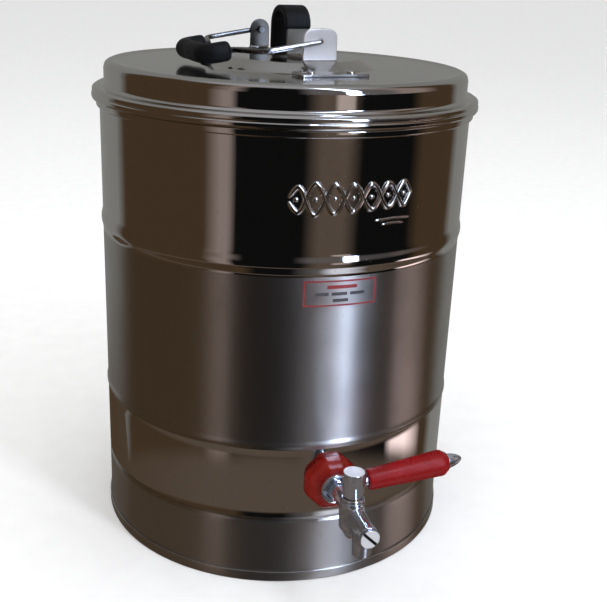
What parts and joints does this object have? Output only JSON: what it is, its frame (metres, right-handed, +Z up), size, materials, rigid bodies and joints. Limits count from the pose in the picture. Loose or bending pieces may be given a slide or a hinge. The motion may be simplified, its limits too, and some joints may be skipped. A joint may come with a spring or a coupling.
{
  "type": "insulated drinks urn",
  "caption": "Double-walled steel urn that keeps hot drinks warm, with a lift-off insulated lid, a folding bail, a strap handle and a quarter-turn lever tap.",
  "frame": {"origin": "centre of the foot ring, on the ground", "axes": "+Z up along the vessel's axis; the tap points towards -Y; the tap's lever points towards +X when closed"},
  "size_m": [0.308, 0.3855, 0.4299],
  "materials": {
    "satin_steel": "satin rolled stainless steel",
    "polished_steel": "mirror-polished stainless steel",
    "tap_chrome": "bright chrome plating",
    "brass": "turned brass",
    "red_plastic": "glossy moulded plastic",
    "white_plastic": "plain moulded plastic",
    "black_rubber": "matt black rubber",
    "silicone": "pale food-grade silicone",
    "foam": "rigid polyurethane foam",
    "label_foil": "satin foil plate, blank, with a red border"
  },
  "bodies": {
    "urn_body": {"outer_shell": "satin_steel", "base_pan": "satin_steel", "inner_vessel": "satin_steel", "body_rim_ring": "polished_steel", "insulation_foam": "foam", "tap_wall_sleeve": "white_plastic", "tap_flange_washer": "red_plastic", "tap_escutcheon": "tap_chrome", "tap_body": "tap_chrome", "tap_inner_seal": "silicone", "tap_backnut": "satin_steel", "tap_collar_ring": "tap_chrome", "slotted_end_plug": "tap_chrome", "end_plug_seal": "black_rubber", "label_plate": "label_foil"},
    "tap_valve": {"tap_plug": "brass", "plug_o_rings": "black_rubber", "plug_washer": "tap_chrome", "plug_nut": "tap_chrome", "tap_hub": "tap_chrome", "lever_stem": "tap_chrome", "lever_grip": "red_plastic", "lever_end_cap": "tap_chrome"},
    "lid": {"lid_outer_shell": "polished_steel", "lid_inner_pan": "satin_steel", "lid_insulation": "foam", "lid_gasket": "silicone", "front_bail_bracket": "polished_steel", "rear_bail_bracket": "polished_steel", "bracket_rivets": "satin_steel", "lid_strap_handle": "satin_steel", "strap_rivets": "satin_steel", "strap_sleeve": "black_rubber"},
    "bail": {"bail_wire": "polished_steel", "bail_grip": "black_rubber"}
  },
  "joints": [
    {"name": "lid_lift", "type": "slide", "parent": "urn_body", "child": "lid", "axis": [0, 0, 1], "range_m": [0, 0.15]},
    {"name": "bail_swing", "type": "hinge", "parent": "lid", "child": "bail", "pos_m": [0, 0, 0.407], "axis": [-0.1184, 0.993, 0], "range_deg": [0, 198]},
    {"name": "tap_lever", "type": "hinge", "parent": "urn_body", "child": "tap_valve", "pos_m": [0, -0.195, 0.089], "axis": [0, 0, 1], "range_deg": [-90, 0]}
  ]
}
